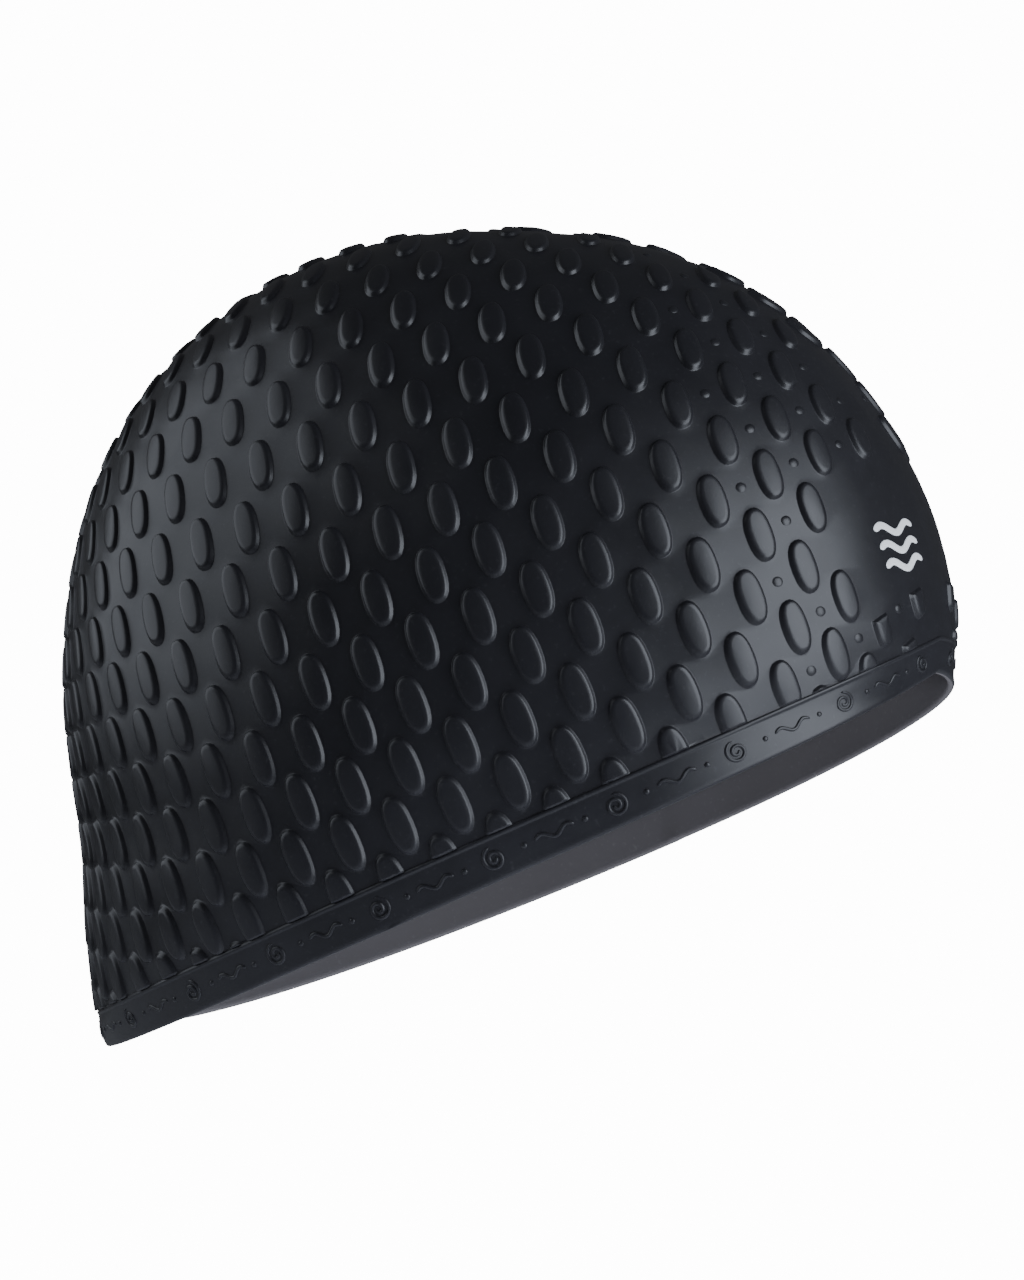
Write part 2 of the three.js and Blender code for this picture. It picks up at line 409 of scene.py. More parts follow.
@dataclass
class Rubber(Finish):
    """Moulded silicone: a dark body, cloudy gloss, fine grain and a little dust."""

    name: str = "black_silicone"
    dark: tuple[float, float, float] = (0.011, 0.011, 0.013)
    light: tuple[float, float, float] = (0.019, 0.019, 0.023)
    dust: tuple[float, float, float] = (0.055, 0.055, 0.060)
    dust_share: float = 0.25
    smooth: float = 0.29
    rough: float = 0.42
    specular: float = 0.5
    bump: float = 0.12
    bump_depth: float = 0.1 * MM
    cloud_scale: float = 38.0
    speck_scale: float = 1100.0
    gloss_from: float = 0.3
    gloss_full: float = 0.7

    def dress(self, tree: bpy.types.NodeTree) -> None:
        """Add the rubber's nodes to a new material's tree.

        Args:
            tree: Node tree of the material.
        """
        nodes, links = tree.nodes, tree.links
        shader = nodes["Principled BSDF"]
        shader.inputs["Specular IOR Level"].default_value = self.specular
        clouds = nodes.new("ShaderNodeGroup")
        clouds.node_tree = cloud_group()
        clouds.inputs["Cloud Scale"].default_value = self.cloud_scale
        clouds.inputs["Speck Scale"].default_value = self.speck_scale
        body = nodes.new("ShaderNodeMix")
        body.data_type = "RGBA"
        body.inputs["A"].default_value = (*self.dark, 1)
        body.inputs["B"].default_value = (*self.light, 1)
        dusty = nodes.new("ShaderNodeMix")
        dusty.data_type = "RGBA"
        dusty.inputs["B"].default_value = (*self.dust, 1)
        share = nodes.new("ShaderNodeMath")
        share.operation = "MULTIPLY"
        share.inputs[1].default_value = self.dust_share
        gloss = nodes.new("ShaderNodeMapRange")
        gloss.inputs["From Min"].default_value = self.gloss_from
        gloss.inputs["From Max"].default_value = self.gloss_full
        gloss.inputs["To Min"].default_value = self.smooth
        gloss.inputs["To Max"].default_value = self.rough
        grain = nodes.new("ShaderNodeGroup")
        grain.node_tree = grain_group()
        bump = nodes.new("ShaderNodeBump")
        bump.inputs["Strength"].default_value = self.bump
        bump.inputs["Distance"].default_value = self.bump_depth
        links.new(clouds.outputs["Clouds"], body.inputs["Factor"])
        links.new(clouds.outputs["Specks"], share.inputs[0])
        links.new(share.outputs["Value"], dusty.inputs["Factor"])
        links.new(body.outputs["Result"], dusty.inputs["A"])
        links.new(clouds.outputs["Clouds"], gloss.inputs["Value"])
        links.new(dusty.outputs["Result"], shader.inputs["Base Color"])
        links.new(gloss.outputs["Result"], shader.inputs["Roughness"])
        links.new(grain.outputs["Height"], bump.inputs["Height"])
        links.new(bump.outputs["Normal"], shader.inputs["Normal"])


@dataclass
class WhiteInk(Finish):
    """Screen printed white ink with a faint unevenness."""

    name: str = "white_ink"
    roughness: float = 0.5
    cloud_scale: float = 420.0
    thin: tuple[float, float, float] = (0.90, 0.90, 0.90)
    full: tuple[float, float, float] = (0.97, 0.97, 0.96)

    def dress(self, tree: bpy.types.NodeTree) -> None:
        """Add the ink's nodes to a new material's tree.

        Args:
            tree: Node tree of the material.
        """
        nodes, links = tree.nodes, tree.links
        shader = nodes["Principled BSDF"]
        shader.inputs["Roughness"].default_value = self.roughness
        clouds = nodes.new("ShaderNodeGroup")
        clouds.node_tree = cloud_group()
        clouds.inputs["Cloud Scale"].default_value = self.cloud_scale
        shade = nodes.new("ShaderNodeMix")
        shade.data_type = "RGBA"
        shade.inputs["A"].default_value = (*self.thin, 1)
        shade.inputs["B"].default_value = (*self.full, 1)
        links.new(clouds.outputs["Clouds"], shade.inputs["Factor"])
        links.new(shade.outputs["Result"], shader.inputs["Base Color"])


OUTSIDE = Rubber()
# The inside's grey is partly painted light: its colour is raised well above the outside's so the
# inner wall seen through the opening looks lit. Its dust specks and matte gloss are the rubber's
# own.
INSIDE_PAINTED_LIGHT = Rubber(
    name="powdered_silicone_with_painted_light",
    dark=(0.070, 0.065, 0.068),
    light=(0.088, 0.082, 0.086),
    dust=(0.16, 0.16, 0.16),
    dust_share=0.25,
    smooth=0.62,
    rough=0.78,
    specular=0.3,
)


def finish_piece(
    bm: bmesh.types.BMesh, name: str, finishes: tuple[Finish, ...]
) -> bpy.types.Object:
    """Turn a bmesh into a piece that rides on the cap's body.

    Args:
        bm: The finished mesh, which is freed.
        name: Name of the piece.
        finishes: Finishes in the order of the faces' material numbers.

    Returns:
        The new object.
    """
    mesh = bpy.data.meshes.new(name)
    bm.to_mesh(mesh)
    bm.free()
    mesh.shade_smooth()
    for finish in finishes:
        mesh.materials.append(finish.material())
    piece = bpy.data.objects.new(name, mesh)
    bpy.context.scene.collection.objects.link(piece)
    normals = piece.modifiers.new("even_normals", "WEIGHTED_NORMAL")
    normals.weight = NORMAL_WEIGHT
    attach(piece, "root")
    mesh.calc_loop_triangles()
    log.info("%s: %d triangles", name, len(mesh.loop_triangles))
    return piece


def mirror_side(bm: bmesh.types.BMesh) -> None:
    """Cut a right side at the middle seam and add its mirrored left side.

    Args:
        bm: Mesh of the right side, wrapped on the head.
    """
    geometry = [*bm.verts, *bm.edges, *bm.faces]
    bmesh.ops.bisect_plane(
        bm, geom=geometry, dist=WELD / 2, plane_co=(0, 0, 0), plane_no=(0, 1, 0), clear_outer=True
    )
    for vert in bm.verts:
        if abs(vert.co.y) < WELD:
            vert.co.y = 0.0
    flat = [face for face in bm.faces if all(vert.co.y == 0 for vert in face.verts)]
    bmesh.ops.delete(bm, geom=flat, context="FACES")
    geometry = [*bm.verts, *bm.edges, *bm.faces]
    bmesh.ops.mirror(bm, geom=geometry, matrix=Matrix.Identity(4), merge_dist=WELD, axis="Y")


@dataclass
class Lattice:
    """Bent brick rows, which give every bubble its place on the flat pattern."""

    form: HeadForm
    pitch: float = 12.4 * MM
    pitch_gain: float = 0.2 * MM
    row_step: float = 9.85 * MM
    row_gain: float = 0.37 * MM
    row_start: float = 40.5 * MM
    first_row: float = 7.0 * MM
    lowest_place: float = 31 * MM
    row_bend: float = 34 * MM
    bend_span: float = 100 * MM
    lowest_row: int = -4
    last_row: int = 16
    half_row: int = 19

    def lay(self, place: float, row: float) -> tuple[float, float]:
        """Turn a place along a row and a row number into a flat point.

        Args:
            place: Place along the row, in bubbles.
            row: Number of the row above the hem.

        Returns:
            The point ahead of the ear and above the rim.
        """
        ahead = self.row_start + place * self.pitch + place**2 / 2 * self.pitch_gain
        base = self.first_row + row * self.row_step + row**2 / 2 * self.row_gain
        bend = math.hypot(1, (ahead - self.lowest_place) / self.bend_span) - 1
        return ahead, base + self.row_bend * bend

    def slope(self, ahead: float) -> float:
        """Rise of the rows per length forward at one place."""
        share = (ahead - self.lowest_place) / self.bend_span
        return self.row_bend / self.bend_span * share / math.hypot(1, share)

    def local_pitch(self, place: float) -> float:
        """Distance to the next bubble of the row at one place along it."""
        return self.pitch + place * self.pitch_gain

    def cells(self) -> list[tuple[float, int]]:
        """Place and row of every cell that touches the right side.

        Returns:
            The cells, row by row.
        """
        found = []
        for row in range(self.lowest_row, self.last_row):
            for i in range(-self.half_row, self.half_row + 1):
                place = i + (row % 2) / 2
                ahead, above = self.lay(place, row)
                if above > -self.row_step and self.form.room(ahead, above) > -self.row_step:
                    found.append((place, row))
        return found


@dataclass(frozen=True)
class Ring:
    """One ring of a bubble: millimetres outside its edge, and its share of the height."""

    outside: float
    height: float


@dataclass(frozen=True)
class Bubble:
    """Outline of one kind of bubble: a rounded oval, cut off straight at its top."""

    width: float
    length: float
    squareness: float
    top: float

    def point(self, turn: float, outside: float) -> tuple[float, float]:
        """Place of one point of a bubble's ring.

        Args:
            turn: Turn of the point round the bubble's middle.
            outside: Distance outside the bubble's edge, in metres.

        Returns:
            The point ahead of and above the bubble's middle.
        """
        power = 2 / self.squareness
        c, s = math.cos(turn), math.sin(turn)
        x = math.copysign(abs(c) ** power, c) * (self.width / 2 + outside)
        y = math.copysign(abs(s) ** power, s) * (self.length / 2 + outside)
        return x, min(y, self.top + outside)


@dataclass
class Dome:
    """The thin dome: bent rows of raised oval bubbles outside, and a smooth lining inside."""

    form: HeadForm
    lattice: Lattice
    oval: Bubble = Bubble(5.8 * MM, 11.9 * MM, 2.35, 11.9 * MM)
    stub: Bubble = Bubble(4.6 * MM, 11.0 * MM, 3.6, 1.4 * MM)
    bubble_rise: float = 1.0 * MM
    roomy_pitch: float = 11.4 * MM
    hem_height: float = 8.5 * MM
    bubble_foot: float = 9.05 * MM
    foot_slope: float = 0.45 * MM
    foot_edge: float = 0.25 * MM
    panel_back: float = 117 * MM
    panel_foot: float = 25 * MM
    panel_top: float = 56 * MM
    wall: float = 1.0 * MM
    seam_gap: float = 2.6 * MM
    seam_least: float = 3.8 * MM
    seam_reach: float = 12 * MM
    edge_radius: float = 1.0
    cut_reach: float = 10 * MM
    slit_sides: int = 6
    side_share: float = 0.34
    side_steps: int = 4
    rings: tuple[Ring, ...] = (
        Ring(0.16, 0.0),
        Ring(-0.02, 0.13),
        Ring(-0.36, 0.60),
        Ring(-0.70, 0.87),
        Ring(-1.40, 0.97),
    )

    @property
    def spokes(self) -> int:
        """Number of points round a cell."""
        return 6 * self.side_steps

    def cell_edge(self, k: int) -> tuple[float, float]:
        """Place and row, from the cell's middle, of one point of its six-sided edge.

        Args:
            k: Number of the point round the cell.

        Returns:
            The shares of a place and of a row.
        """
        side, tip = self.side_share, 1 - self.side_share
        corners = [(0.5, -side), (0.5, side), (0, tip), (-0.5, side), (-0.5, -side), (0, -tip)]
        index, part = divmod((k + self.side_steps // 2) % self.spokes, self.side_steps)
        start, end = corners[index], corners[(index + 1) % 6]
        share = part / self.side_steps
        return start[0] + (end[0] - start[0]) * share, start[1] + (end[1] - start[1]) * share

    def cell(self, bubble: Bubble | None) -> bpy.types.Mesh:
        """Model one cell flat with its bubble, and its edge as a far wider circle.

        Args:
            bubble: The bubble's outline, or None for a plain cell.

        Returns:
            The cell's mesh, with heights in z.
        """
        bm = bmesh.new()
        bmesh.ops.create_circle(bm, cap_ends=True, segments=self.spokes, radius=self.edge_radius)
        cap = bm.faces[:][0]
        if cap.normal.z < 0:
            cap.normal_flip()
        turns = [math.atan2(vert.co.y, vert.co.x) / (2 * math.pi) for vert in cap.verts]
        order = [round(turn * self.spokes) % self.spokes for turn in turns]
        for ring in self.rings if bubble else ():
            bmesh.ops.inset_individual(bm, faces=[cap], thickness=MM, use_even_offset=False)
            for vert, k in zip(cap.verts, order):
                turn = 2 * math.pi * k / self.spokes
                vert.co.xy = bubble.point(turn, ring.outside * MM)
                vert.co.z = ring.height * self.bubble_rise
        peak = bmesh.ops.poke(bm, faces=[cap])["verts"][0]
        peak.co.z = self.bubble_rise if bubble else 0.0
        mesh = bpy.data.meshes.new("cell")
        bm.to_mesh(mesh)
        bm.free()
        return mesh

    def on_panel(self, ahead: float, above: float) -> bool:
        """Whether a cell lies on the bare forehead panel."""
        return ahead > self.panel_back and self.panel_foot < above < self.panel_top

    def under_panel(self, ahead: float, above: float) -> bool:
        """Whether a cell lies under the panel, where the bubbles are cut short."""
        return ahead > self.panel_back and above < self.panel_foot

    def keep_clear(self, ahead: float, above: float, height: float) -> tuple[float, float]:
        """Move a bubble's point back from the middle seam, where plain rubber is left.

        Args:
            ahead: Flat place forward of the ear.
            above: Flat place above the rim.
            height: Height of the point, which tells its ring.

        Returns:
            The flat point, moved only if it was too near.
        """
        ring = min(self.rings, key=lambda ring: abs(ring.height * self.bubble_rise - height))
        short = self.seam_gap - ring.outside * MM - self.form.room(ahead, above)
        if short <= 0:
            return ahead, above
        angle, distance = self.form.polar(ahead, above)
        distance -= short
        return distance * math.cos(angle), self.form.side_drop + distance * math.sin(angle)

    def lay_cell(
        self, bm: bmesh.types.BMesh, source: bpy.types.Mesh, place: float, row: int
    ) -> None:
        """Add one cell to the flat field: its edge follows the lattice, its bubble keeps its size.

        Args:
            bm: Mesh that the cell is added to.
            source: The cell's mesh.
            place: Place of the cell along its row.
            row: Number of its row.
        """
        first = len(bm.verts)
        bm.from_mesh(source)
        bm.verts.ensure_lookup_table()
        middle = self.lattice.lay(place, row)
        slope = self.lattice.slope(middle[0])
        narrow = min(1.0, self.lattice.local_pitch(place) / self.roomy_pitch)
        room = self.form.room(*middle)
        beside = self.seam_least < room < self.seam_reach
        for vert in bm.verts[first:]:
            if vert.co.length > self.edge_radius / 2:
                k = round(math.atan2(vert.co.y, vert.co.x) / (2 * math.pi) * self.spokes)
                along, up = self.cell_edge(k % self.spokes)
                vert.co.xy = self.lattice.lay(place + along, row + up)
            else:
                across = vert.co.x * narrow
                point = (middle[0] + across, middle[1] + vert.co.y + across * slope)
                vert.co.xy = self.keep_clear(*point, vert.co.z) if beside else point

    def lay_field(self, bubbles: bool) -> bmesh.types.BMesh:
        """Lay all the cells of the right side flat, weld them and cut them along the hem.

        Args:
            bubbles: Whether all cells get their bubbles, or only those that the hem cuts.

        Returns:
            The flat field.
        """
        oval = self.cell(self.oval)
        stub = self.cell(self.stub)
        plain = self.cell(None)
        bm = bmesh.new()
        for place, row in self.lattice.cells():
            ahead, above = self.lattice.lay(place, row)
            bare = self.on_panel(ahead, above)
            if not bubbles:
                bare = above - self.hem_height > self.cut_reach
            bare = bare or self.form.room(ahead, above) < self.seam_least
            source = stub if self.under_panel(ahead, above) else oval
            if above > self.hem_height - self.cut_reach:
                self.lay_cell(bm, plain if bare else source, place, row)
        bmesh.ops.remove_doubles(bm, verts=bm.verts, dist=WELD)
        bmesh.ops.bisect_plane(
            bm,
            geom=[*bm.verts, *bm.edges, *bm.faces],
            dist=WELD / 2,
            plane_co=(0, self.hem_height, 0),
            plane_no=(0, -1, 0),
            clear_outer=True,
        )
        for source in (oval, stub, plain):
            bpy.data.meshes.remove(source)
        return bm

    def skin(self) -> bmesh.types.BMesh:
        """Model the outside of the right side, flat, with bubbles that end above the hem.

        Returns:
            The flat skin.
        """
        bm = self.lay_field(True)
        slope_top = self.bubble_foot + self.foot_slope
        for height in (self.bubble_foot, slope_top, slope_top + self.foot_edge):
            bmesh.ops.bisect_plane(
                bm,
                geom=[*bm.verts, *bm.edges, *bm.faces],
                dist=WELD / 2,
                plane_co=(0, height, 0),
                plane_no=(0, -1, 0),
            )
        for vert in bm.verts:
            share = min(max((vert.co.y - self.bubble_foot) / self.foot_slope, 0.0), 1.0)
            vert.co.z *= share * share * (3 - 2 * share)
        return bm

    def lining(self) -> bmesh.types.BMesh:
        """Model the smooth inside of the right side, flat.

        Returns:
            The flat lining.
        """
        bm = self.lay_field(False)
        for vert in bm.verts:
            vert.co.z = -self.wall
        for face in bm.faces:
            face.material_index = 1
        return bm

    def close_foot(self, bm: bmesh.types.BMesh) -> None:
        """Join the flat skin to the lining along the hem, where their edges match.

        Args:
            bm: Mesh with both, still flat.
        """
        limit = self.hem_height + WELD
        foot = [
            edge
            for edge in bm.edges
            if edge.is_boundary and all(v.co.y < limit and v.co.z > -WELD for v in edge.verts)
        ]
        made = bmesh.ops.extrude_edge_only(bm, edges=foot)["geom"]
        verts = [part for part in made if isinstance(part, bmesh.types.BMVert)]
        bmesh.ops.translate(bm, verts=verts, vec=(0, 0, -self.wall))
        bmesh.ops.remove_doubles(bm, verts=bm.verts, dist=WELD / 4)

    def wrap(self, bm: bmesh.types.BMesh) -> None:
        """Lay a flat right side on the head and mirror it to the left.

        Args:
            bm: Flat mesh, with heights in z.
        """
        for vert in bm.verts:
            vert.co = self.form.place(*vert.co)
        mirror_side(bm)

    def build(self) -> bpy.types.Object:
        """Model the dome as one closed shell, open only at the head.

        Returns:
            The piece.
        """
        shell = self.skin()
        inside = self.lining()
        mesh = bpy.data.meshes.new("lining")
        inside.to_mesh(mesh)
        inside.free()
        shell.from_mesh(mesh)
        bpy.data.meshes.remove(mesh)
        self.close_foot(shell)
        self.wrap(shell)
        slits = [edge for edge in shell.edges if edge.is_boundary]
        bmesh.ops.holes_fill(shell, edges=slits, sides=self.slit_sides)
        bmesh.ops.recalc_face_normals(shell, faces=shell.faces)
        log.info("dome: %d open edges", sum(edge.is_boundary for edge in shell.edges))
        piece = finish_piece(shell, "bubble_dome", (OUTSIDE, INSIDE_PAINTED_LIGHT))
        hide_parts("cap_shell")
        return piece


@dataclass(frozen=True)
class ProfilePoint:
    """One point of the hem's section, in millimetres above the rim and off the dome."""

    above: float
    lift: float


@dataclass
class Hem:
    """The band round the head opening: a thick lip, a flat band and a fine bead on top."""

    form: HeadForm
    columns: int = 132
    inside_lift: float = -0.1
    profile: tuple[ProfilePoint, ...] = (
        ProfilePoint(9.3, -0.45),
        ProfilePoint(9.24, 0.02),
        ProfilePoint(9.10, 0.26),
        ProfilePoint(8.90, 0.40),
        ProfilePoint(8.65, 0.44),
        ProfilePoint(8.42, 0.38),
        ProfilePoint(8.20, 0.26),
        ProfilePoint(7.98, 0.21),
        ProfilePoint(7.60, 0.27),
        ProfilePoint(6.00, 0.30),
        ProfilePoint(4.00, 0.30),
        ProfilePoint(2.40, 0.31),
        ProfilePoint(1.60, 0.34),
        ProfilePoint(1.00, 0.37),
        ProfilePoint(0.50, 0.32),
        ProfilePoint(0.16, 0.14),
        ProfilePoint(0.0, -0.18),
        ProfilePoint(0.0, -0.62),
        ProfilePoint(0.16, -0.94),
        ProfilePoint(0.50, -1.12),
        ProfilePoint(1.10, -1.16),
        ProfilePoint(2.20, -1.12),
        ProfilePoint(4.00, -1.08),
        ProfilePoint(7.00, -1.05),
        ProfilePoint(8.90, -1.03),
        ProfilePoint(9.30, -0.85),
    )

    def build(self) -> bpy.types.Object:
        """Sweep the section round the opening and close it.

        Returns:
            The piece.
        """
        bm = bmesh.new()
        rows = len(self.profile)
        bmesh.ops.create_grid(bm, x_segments=self.columns, y_segments=rows, size=0.5)
        ends = [
            (
                self.form.seam_end(point.above * MM, Side.NAPE),
                self.form.seam_end(point.above * MM, Side.FOREHEAD),
            )
            for point in self.profile
        ]
        for face in bm.faces:
            row = int((0.5 - face.calc_center_median().y) * rows)
            face.material_index = int(self.profile[row].lift < self.inside_lift)
        for vert in bm.verts:
            row = round((0.5 - vert.co.y) * rows) % rows
            share = vert.co.x + 0.5
            back, front = ends[row]
            point = self.profile[row]
            above = point.above * MM
            vert.co = self.form.place(back + (front - back) * share, above, point.lift * MM)
        bmesh.ops.remove_doubles(bm, verts=bm.verts, dist=WELD)
        mirror_side(bm)
        bmesh.ops.recalc_face_normals(bm, faces=bm.faces)
        piece = finish_piece(bm, "hem", (OUTSIDE, INSIDE_PAINTED_LIGHT))
        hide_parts("cap_shell")
        return piece


class Motif(Enum):
    """Shapes of the hem's ornament and of the panel's mark."""

    SPIRAL = "spiral"
    WAVE = "wave"

    def path(self, t: float, size: float) -> tuple[float, float]:
        """Middle line of the motif, centred and drawn flat.

        Args:
            t: Share of its length, from 0 to 1.
            size: Width of a spiral, or length of a wave.

        Returns:
            The point ahead of and above the motif's middle.
        """
        half = size / 2
        if self is Motif.SPIRAL:
            turn = math.pi * (SPIRAL_START + SPIRAL_TURN * t)
            radius = half * (1 - SPIRAL_SHRINK * t)
            return radius * math.cos(turn), radius * math.sin(turn)
        return half * (2 * t - 1), WAVE_HEIGHT * size * math.sin(WAVE_BENDS * math.pi * t)


@dataclass(frozen=True)
class Placing:
    """One motif or dot of the ornament, in millimetres."""

    motif: Motif | None
    ahead: float
    above: float
    flip: int = 1


@dataclass
class Relief:
    """Low raised shapes on the rubber: strokes along a motif's line, and round dots."""

    form: HeadForm
    stroke_width: float = 0.8 * MM
    stroke_rise: float = 0.30 * MM
    base: float = 0.28 * MM
    steps: int = 40
    sides: int = 10
    look_ahead: float = 0.01
    bluntness: int = 12
    dot_sides: int = 14
    dot_levels: int = 8

    def add_stroke(self, bm: bmesh.types.BMesh, placing: Placing, size: float) -> None:
        """Add one motif as a closed, rounded stroke, sunk halfway into the rubber.

        Args:
            bm: Mesh that the stroke is added to.
            placing: The motif and its middle.
            size: Width of a spiral, or length of a wave, in metres.
        """
        part = bmesh.new()
        bmesh.ops.create_grid(part, x_segments=self.steps, y_segments=self.sides, size=0.5)
        for vert in part.verts:
            t = min(max(vert.co.x + 0.5, 0.0), 1.0)
            turn = 2 * math.pi * (round((vert.co.y + 0.5) * self.sides) % self.sides) / self.sides
            x, y = placing.motif.path(t, size)
            x2, y2 = placing.motif.path(t + self.look_ahead, size)
            along = math.hypot(x2 - x, y2 - y)
            taper = math.sqrt(max(0.0, 1 - abs(2 * t - 1) ** self.bluntness))
            side = self.stroke_width / 2 * taper * math.cos(turn)
            ahead = placing.ahead * MM + placing.flip * (x - side * (y2 - y) / along)
            above = placing.above * MM + y + side * (x2 - x) / along
            lift = self.base + self.stroke_rise * taper * math.sin(turn)
            vert.co = self.form.place(ahead, above, lift)
        bmesh.ops.remove_doubles(part, verts=part.verts, dist=WELD / 4)
        self.join(bm, part)

    def add_dot(self, bm: bmesh.types.BMesh, ahead: float, above: float, width: float) -> None:
        """Add one round dot, sunk halfway into the rubber.

        Args:
            bm: Mesh that the dot is added to.
            ahead: Flat place forward of the ear, in metres.
            above: Flat place above the rim, in metres.
            width: Width of the dot in metres.
        """
        part = bmesh.new()
        bmesh.ops.create_uvsphere(
            part, u_segments=self.dot_sides, v_segments=self.dot_levels, radius=0.5
        )
        for vert in part.verts:
            x, y, z = vert.co
            lift = self.base + 2 * z * self.stroke_rise
            vert.co = self.form.place(ahead + x * width, above + y * width, lift)
        self.join(bm, part)

    def join(self, bm: bmesh.types.BMesh, part: bmesh.types.BMesh) -> None:
        """Move a part's mesh into another, facing outwards.

        Args:
            bm: Mesh that takes the part.
            part: Mesh of the part, which is freed.
        """
        bmesh.ops.recalc_face_normals(part, faces=part.faces)
        mesh = bpy.data.meshes.new("part")
        part.to_mesh(mesh)
        part.free()
        bm.from_mesh(mesh)
        bpy.data.meshes.remove(mesh)

    def mirror(self, bm: bmesh.types.BMesh) -> None:
        """Add the left side's copies.

        Args:
            bm: Mesh of the right side's shapes.
        """
        geometry = [*bm.verts, *bm.edges, *bm.faces]
        bmesh.ops.mirror(bm, geom=geometry, matrix=Matrix.Identity(4), merge_dist=0, axis="Y")
        bmesh.ops.recalc_face_normals(bm, faces=bm.faces)


@dataclass
class HemOrnament(Relief):
    """A plain running ornament of spirals, waves and dots on the hem."""

    spacing: float = 6.4
    middle: float = 4.5
    spiral: float = 4.8 * MM
    wave: float = 8.4 * MM
    dot: float = 1.2 * MM
    seam_room: float = 9.0

    def placings(self) -> list[Placing]:
        """Motifs of the right side from the nape to the forehead.

        Returns:
            The motifs and dots in order.
        """
        order = [Motif.SPIRAL, None, Motif.WAVE, None]
        back = self.form.seam_end(self.middle * MM, Side.NAPE) / MM + self.seam_room
        front = self.form.seam_end(self.middle * MM, Side.FOREHEAD) / MM - self.seam_room
        count = int((front - back) / self.spacing)
        step = (front - back) / count
        found = []
        for i in range(count + 1):
            flip = 1 if i // len(order) % 2 == 0 else -1
            found.append(Placing(order[i % len(order)], back + i * step, self.middle, flip))
        return found

    def build(self) -> bpy.types.Object:
        """Model the ornament of both sides as one piece.

        Returns:
            The piece.
        """
        bm = bmesh.new()
        for placing in self.placings():
            if placing.motif:
                size = self.spiral if placing.motif is Motif.SPIRAL else self.wave
                self.add_stroke(bm, placing, size)
            else:
                self.add_dot(bm, placing.ahead * MM, placing.above * MM, self.dot)
        self.mirror(bm)
        piece = finish_piece(bm, "hem_ornament", (OUTSIDE,))
        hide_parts("cap_shell")
        return piece


@dataclass
class VentPips(Relief):
    """Small pips midway between the bubbles of the front rows."""

    lattice: Lattice | None = None
    dome: Dome | None = None
    first_ahead: float = 94 * MM
    width: float = 2.8 * MM
    base: float = -0.28 * MM
    stroke_rise: float = 0.50 * MM
    seam_room: float = 5 * MM
    hem_room: float = 4 * MM

    def build(self) -> bpy.types.Object:
        """Model the pips of both sides as one piece.

        Returns:
            The piece.
        """
        bm = bmesh.new()
        for place, row in self.lattice.cells():
            ahead, above = self.lattice.lay(place + 0.5, row)
            near = [self.lattice.lay(place + part, row) for part in (0, 0.5, 1)]
            clear = self.form.room(ahead, above) > self.seam_room
            high = above > self.dome.hem_height + self.hem_room
            if ahead > self.first_ahead and clear and high:
                if not any(self.dome.on_panel(*point) for point in near):
                    self.add_dot(bm, ahead, above, self.width)
        self.mirror(bm)
        piece = finish_piece(bm, "vent_pips", (OUTSIDE,))
        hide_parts("cap_shell")
        return piece


@dataclass
class PanelMark(Relief):
    """A generic white mark of three wave strokes on the right of the forehead panel."""

    ahead: float = 132.5
    above: float = 34.5
    line_gap: float = 4.6
    length: float = 14 * MM
    stroke_width: float = 1.9 * MM
    stroke_rise: float = 0.10 * MM
    base: float = 0.0

    def build(self) -> bpy.types.Object:
        """Model the three strokes as one piece.

        Returns:
            The piece.
        """
        bm = bmesh.new()
        for line in (-1, 0, 1):
            placing = Placing(Motif.WAVE, self.ahead, self.above + line * self.line_gap)
            self.add_stroke(bm, placing, self.length)
        piece = finish_piece(bm, "panel_mark", (WhiteInk(),))
        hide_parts("cap_shell")
        return piece


@dataclass(frozen=True)
class Softbox:
    """One lamp: degrees right of the camera and above the horizon, metres and watts."""

    name: str
    turn: float
    rise: float
    width: float
    height: float
    power: float
    distance: float = 1.1


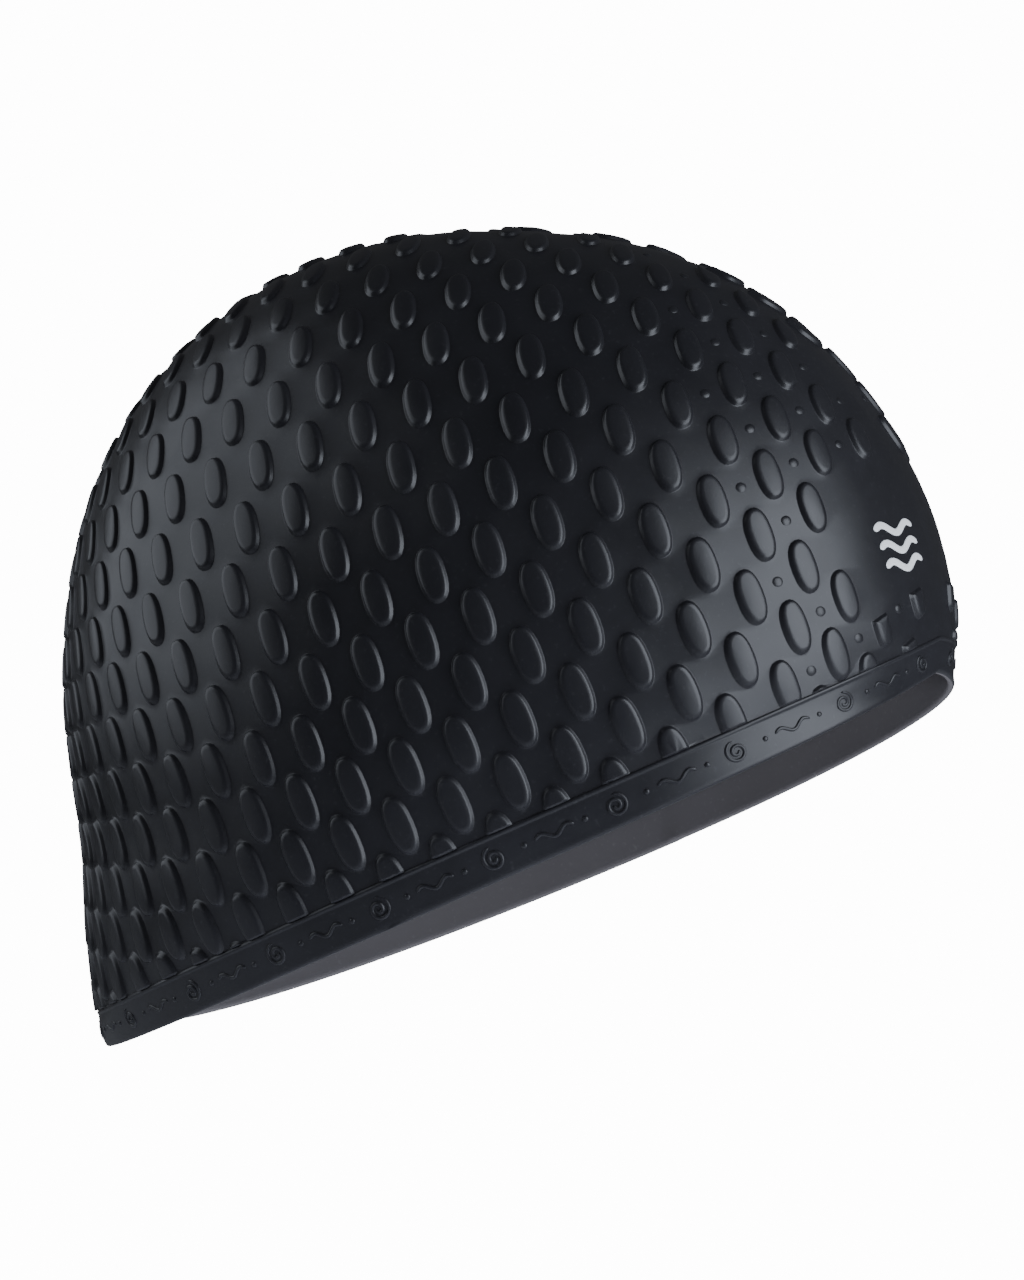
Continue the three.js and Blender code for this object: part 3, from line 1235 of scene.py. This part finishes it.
@dataclass
class Studio:
    """Pale floor, soft lights and the camera."""

    target: Vector = field(default_factory=lambda: Vector((-4.8 * MM, 0, 44.3 * MM)))
    azimuth: float = math.radians(23.9)
    elevation: float = math.radians(4.7)
    distance: float = 0.999
    focal_pixels: float = 4770
    frame_height: int = 1280
    film: float = 36.0
    floor_drop: float = 0.30
    floor_glow: float = 14.0
    sky_light: float = 0.07
    sky_shown: float = 14.0
    tint: tuple[float, float, float] = (0.84, 0.90, 1.0)
    near: float = 0.5
    floor_size: float = 12.0
    floor_colour: tuple[float, float, float] = (0.5, 0.5, 0.5)
    floor_roughness: float = 0.9
    sky_colour: tuple[float, float, float] = (0.93, 0.95, 1)
    shown_colour: tuple[float, float, float] = (1, 1, 1)
    lamps: tuple[Softbox, ...] = (
        Softbox("left_softbox", -100, 21, 1.1, 1.08, 5.5),
        Softbox("right_softbox", 54, 15, 0.9, 1.2, 16.5),
        Softbox("opening_light", 20, -65, 0.3, 0.3, 1.6, 0.28),
    )

    def direction(self, azimuth: float, elevation: float) -> Vector:
        """Unit vector from the target towards a camera or lamp."""
        return Vector(
            (
                math.sin(azimuth) * math.cos(elevation),
                -math.cos(azimuth) * math.cos(elevation),
                math.sin(elevation),
            )
        )

    def aim(self, obj: bpy.types.Object, place: Vector, target: Vector) -> None:
        """Put a camera or lamp at a place and turn it to its target."""
        obj.location = place
        obj.rotation_euler = (target - place).to_track_quat("-Z", "Y").to_euler()

    def add_camera(self) -> None:
        """Add the camera at the picture's viewing angle."""
        data = bpy.data.cameras.new("camera")
        data.sensor_fit = "VERTICAL"
        data.sensor_height = self.film
        data.lens = self.film * self.focal_pixels / self.frame_height
        camera = bpy.data.objects.new("camera", data)
        bpy.context.scene.collection.objects.link(camera)
        place = self.target + self.direction(self.azimuth, self.elevation) * self.distance
        self.aim(camera, place, self.target)
        bpy.context.scene.camera = camera

    def add_lamp(self, box: Softbox) -> None:
        """Add a softbox; one near the cap gives no glints.

        Args:
            box: The lamp's name, place, size and power.
        """
        data = bpy.data.lights.new(box.name, "AREA")
        data.shape = "RECTANGLE"
        data.size, data.size_y = box.width, box.height
        data.energy = box.power
        data.color = self.tint
        lamp = bpy.data.objects.new(box.name, data)
        lamp.visible_camera = False
        lamp.visible_glossy = box.distance > self.near
        bpy.context.scene.collection.objects.link(lamp)
        way = self.direction(self.azimuth + math.radians(box.turn), math.radians(box.rise))
        self.aim(lamp, self.target + way * box.distance, self.target)

    def add_floor(self) -> None:
        """Add the pale floor under the cap; it shows nearly white and lights the cap softly."""
        bm = bmesh.new()
        bmesh.ops.create_grid(bm, x_segments=1, y_segments=1, size=self.floor_size)
        bmesh.ops.translate(bm, verts=bm.verts, vec=(0, 0, -self.floor_drop))
        mesh = bpy.data.meshes.new("floor")
        bm.to_mesh(mesh)
        bm.free()
        material = bpy.data.materials.new("pale_floor")
        material.use_nodes = True
        nodes, links = material.node_tree.nodes, material.node_tree.links
        shader = nodes["Principled BSDF"]
        shader.inputs["Base Color"].default_value = (*self.floor_colour, 1)
        shader.inputs["Roughness"].default_value = self.floor_roughness
        glow = nodes.new("ShaderNodeEmission")
        path = nodes.new("ShaderNodeLightPath")
        share = nodes.new("ShaderNodeMath")
        share.operation = "MULTIPLY"
        share.inputs[1].default_value = self.floor_glow
        both = nodes.new("ShaderNodeAddShader")
        links.new(path.outputs["Is Camera Ray"], share.inputs[0])
        links.new(share.outputs["Value"], glow.inputs["Strength"])
        links.new(shader.outputs["BSDF"], both.inputs[0])
        links.new(glow.outputs["Emission"], both.inputs[1])
        links.new(both.outputs["Shader"], nodes["Material Output"].inputs["Surface"])
        mesh.materials.append(material)
        floor = bpy.data.objects.new("floor", mesh)
        bpy.context.scene.collection.objects.link(floor)

    def add_sky(self) -> None:
        """Show a white surround, with little light of its own."""
        world = bpy.data.worlds.new("studio")
        world.use_nodes = True
        nodes, links = world.node_tree.nodes, world.node_tree.links
        light = nodes["Background"]
        light.inputs["Color"].default_value = (*self.sky_colour, 1)
        light.inputs["Strength"].default_value = self.sky_light
        seen = nodes.new("ShaderNodeBackground")
        seen.inputs["Color"].default_value = (*self.shown_colour, 1)
        seen.inputs["Strength"].default_value = self.sky_shown
        path = nodes.new("ShaderNodeLightPath")
        mix = nodes.new("ShaderNodeMixShader")
        links.new(path.outputs["Is Camera Ray"], mix.inputs["Fac"])
        links.new(light.outputs["Background"], mix.inputs[1])
        links.new(seen.outputs["Background"], mix.inputs[2])
        links.new(mix.outputs["Shader"], nodes["World Output"].inputs["Surface"])
        bpy.context.scene.world = world

    def build(self) -> None:
        """Set up the whole studio."""
        self.add_floor()
        self.add_sky()
        for box in self.lamps:
            self.add_lamp(box)
        self.add_camera()


def main() -> None:
    """Build the cap's pieces in order, then the studio."""
    form = HeadForm()
    lattice = Lattice(form)
    dome = Dome(form, lattice)
    dome.build()
    Hem(form).build()
    HemOrnament(form).build()
    VentPips(form, lattice=lattice, dome=dome).build()
    PanelMark(form).build()
    Studio().build()


if __name__ == "__main__":
    main()
